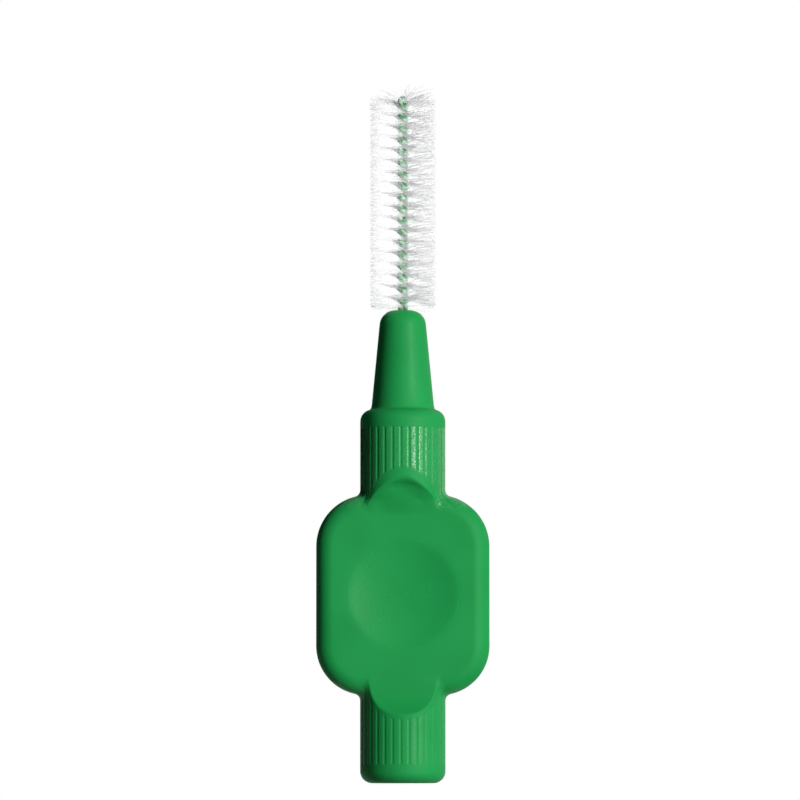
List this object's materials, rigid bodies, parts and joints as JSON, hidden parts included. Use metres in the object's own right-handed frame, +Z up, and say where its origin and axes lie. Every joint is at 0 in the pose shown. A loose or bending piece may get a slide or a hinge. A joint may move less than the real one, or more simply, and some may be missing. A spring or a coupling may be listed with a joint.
{
  "type": "interdental brush",
  "caption": "Interdental brush: fluted handle with a flat grip plate and thumb dish, and a twisted coated wire that holds spiral rows of filaments.",
  "frame": {"origin": "middle of the tail's flat end face, at the object's base", "axes": "+Z up along the wire, X across the wide grip plate, and the plate's dished faces look along -Y and +Y"},
  "size_m": [0.0132, 0.0066, 0.0529],
  "materials": {
    "handle_plastic": "satin moulded polypropylene",
    "steel_wire": "drawn stainless steel",
    "wire_plastic": "smooth plastic skin",
    "filament_nylon": "clear white nylon"
  },
  "bodies": {
    "root": {"handle": "handle_plastic", "wire_core": "steel_wire", "wire_skin": "wire_plastic", "bristle_row_01": "filament_nylon", "bristle_row_02": "filament_nylon", "bristle_row_03": "filament_nylon", "bristle_row_04": "filament_nylon", "bristle_row_05": "filament_nylon", "bristle_row_06": "filament_nylon", "bristle_row_07": "filament_nylon", "bristle_row_08": "filament_nylon", "bristle_row_09": "filament_nylon", "bristle_row_10": "filament_nylon", "bristle_row_11": "filament_nylon", "bristle_row_12": "filament_nylon", "bristle_row_13": "filament_nylon", "bristle_row_14": "filament_nylon", "bristle_row_15": "filament_nylon", "bristle_row_16": "filament_nylon", "bristle_row_17": "filament_nylon", "bristle_row_18": "filament_nylon"}
  },
  "joints": []
}
